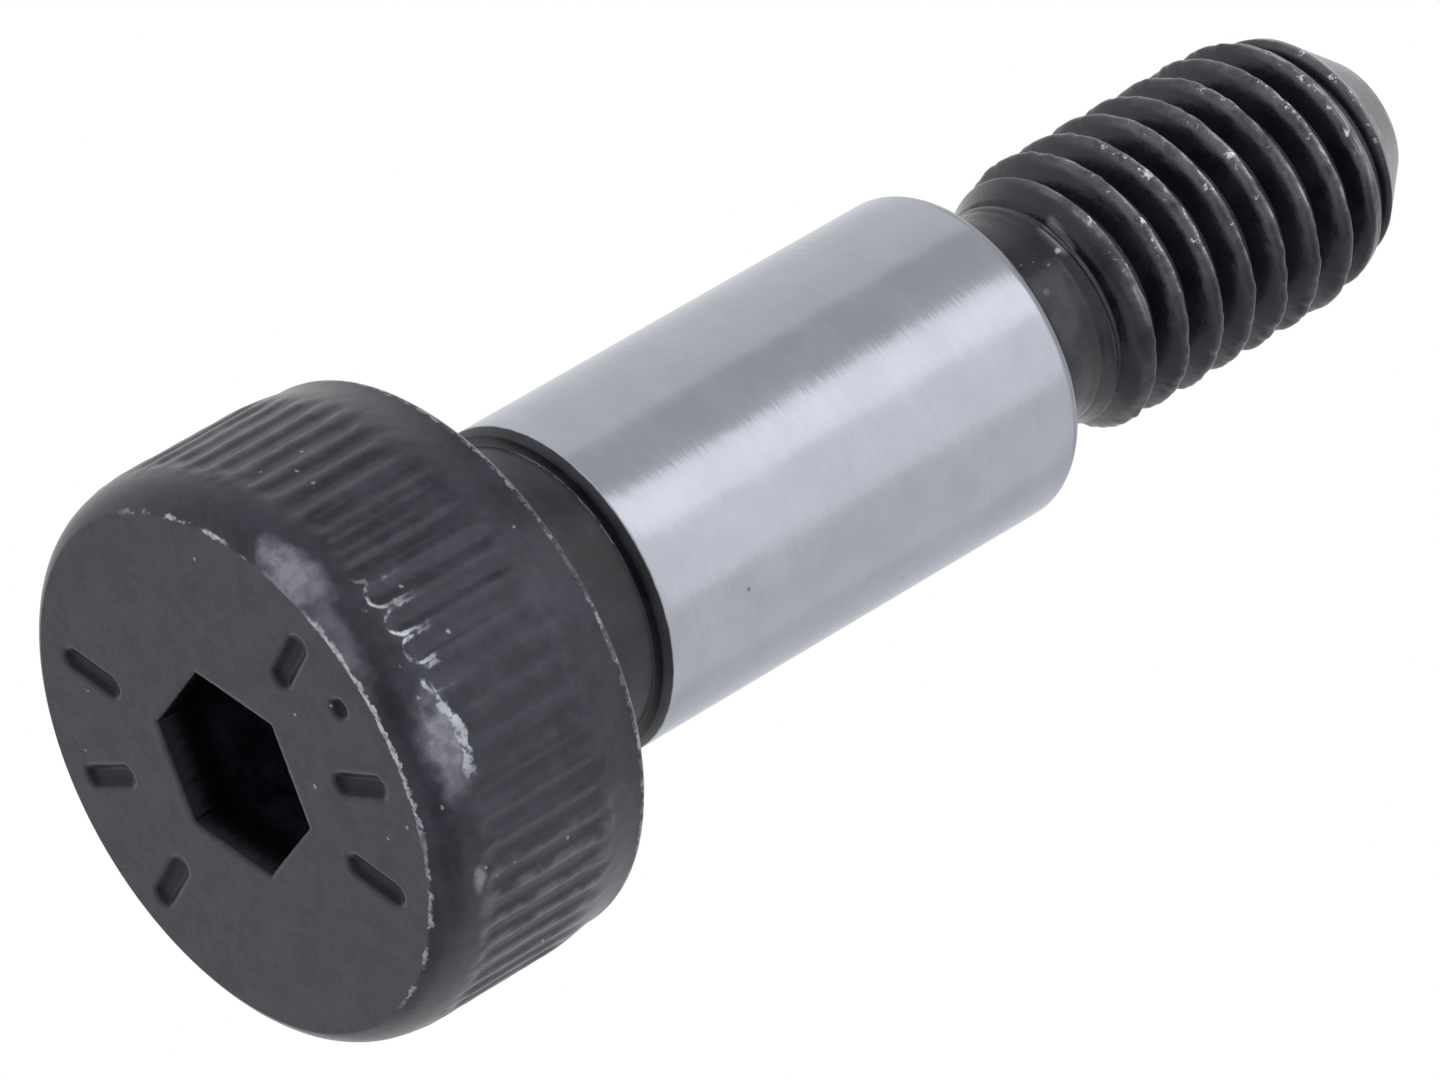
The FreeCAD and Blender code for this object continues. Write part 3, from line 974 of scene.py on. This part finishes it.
def card(name, azimuth, elevation, width, height, level):
    """A card that only reflections see."""
    mesh = bpy.data.meshes.new(name)
    w, h = width / 2, height / 2
    mesh.from_pydata([(-w, -h, 0), (w, -h, 0), (w, h, 0), (-w, h, 0)], [], [(0, 1, 2, 3)])
    sheet = bpy.data.objects.new(name, mesh)
    sheet.matrix_world = aimed(azimuth, elevation, CARD_DISTANCE)
    material, tree, surface = empty_material(name)
    glow = tree.nodes.new("ShaderNodeEmission")
    glow.inputs["Color"].default_value = (level, level, level * CARD_BLUE, 1)
    tree.links.new(glow.outputs[0], surface)
    dress(sheet, material)
    bpy.context.scene.collection.objects.link(sheet)
    sheet.visible_camera = False
    sheet.visible_diffuse = False
    sheet.visible_shadow = False


def white_world():
    """White behind the bolt and in its reflections, and soft light of a plain level on its surfaces."""
    world = bpy.data.worlds.new("studio")
    bpy.context.scene.world = world
    world.use_nodes = True
    tree = world.node_tree
    tree.nodes.clear()
    path = tree.nodes.new("ShaderNodeLightPath")
    seen = tree.nodes.new("ShaderNodeMath")
    seen.operation = "MAXIMUM"
    tree.links.new(path.outputs["Is Camera Ray"], seen.inputs[0])
    tree.links.new(path.outputs["Is Glossy Ray"], seen.inputs[1])
    through = tree.nodes.new("ShaderNodeMath")
    through.operation = "MAXIMUM"
    tree.links.new(seen.outputs[0], through.inputs[0])
    tree.links.new(path.outputs["Is Transmission Ray"], through.inputs[1])
    white = tree.nodes.new("ShaderNodeBackground")
    white.inputs["Color"].default_value = (1, 1, 1, 1)
    soft = tree.nodes.new("ShaderNodeBackground")
    soft.inputs["Color"].default_value = WORLD_SOFT
    mix = tree.nodes.new("ShaderNodeMixShader")
    tree.links.new(through.outputs[0], mix.inputs[0])
    tree.links.new(soft.outputs[0], mix.inputs[1])
    tree.links.new(white.outputs[0], mix.inputs[2])
    output = tree.nodes.new("ShaderNodeOutputWorld")
    tree.links.new(mix.outputs[0], output.inputs["Surface"])


def pale_floor():
    """The floor that the bolt stands on. It shows from above only, so the camera sees the head through it."""
    mesh = bpy.data.meshes.new("floor")
    ring = [(FLOOR_R * math.cos(t), FLOOR_R * math.sin(t), 0) for t in even(0, 2 * math.pi, FLOOR_SIDES)]
    mesh.from_pydata(ring, [], [tuple(range(FLOOR_SIDES))])
    floor = bpy.data.objects.new("floor", mesh)
    floor.location = (0, 0, -FLOOR_GAP)
    material, tree, surface = empty_material("pale_floor")
    pale = tree.nodes.new("ShaderNodeBsdfDiffuse")
    pale.inputs["Color"].default_value = FLOOR_COLOUR
    clear = tree.nodes.new("ShaderNodeBsdfTransparent")
    side = tree.nodes.new("ShaderNodeNewGeometry")
    mix = tree.nodes.new("ShaderNodeMixShader")
    tree.links.new(side.outputs["Backfacing"], mix.inputs[0])
    tree.links.new(pale.outputs[0], mix.inputs[1])
    tree.links.new(clear.outputs[0], mix.inputs[2])
    tree.links.new(mix.outputs[0], surface)
    dress(floor, material)
    bpy.context.scene.collection.objects.link(floor)
    floor.visible_diffuse = False
    floor.visible_glossy = False
    floor.visible_transmission = False
    floor.visible_shadow = False


def light_studio():
    white_world()
    pale_floor()
    for lamp in LAMPS:
        softbox(*lamp)
    for sheet in CARDS:
        card(*sheet)


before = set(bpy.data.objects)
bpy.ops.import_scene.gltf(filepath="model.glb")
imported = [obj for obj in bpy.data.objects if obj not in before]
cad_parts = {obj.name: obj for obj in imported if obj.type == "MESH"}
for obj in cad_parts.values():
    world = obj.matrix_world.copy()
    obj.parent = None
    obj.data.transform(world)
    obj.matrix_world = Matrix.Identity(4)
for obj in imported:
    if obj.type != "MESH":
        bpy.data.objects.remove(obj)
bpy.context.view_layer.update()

bpy.context.scene.view_settings.view_transform = "Standard"
place_camera()
light_studio()
dress(make_head(), black_oxide())
dress(make_shoulder(), ground_steel())
dress(make_thread(), thread_oxide())
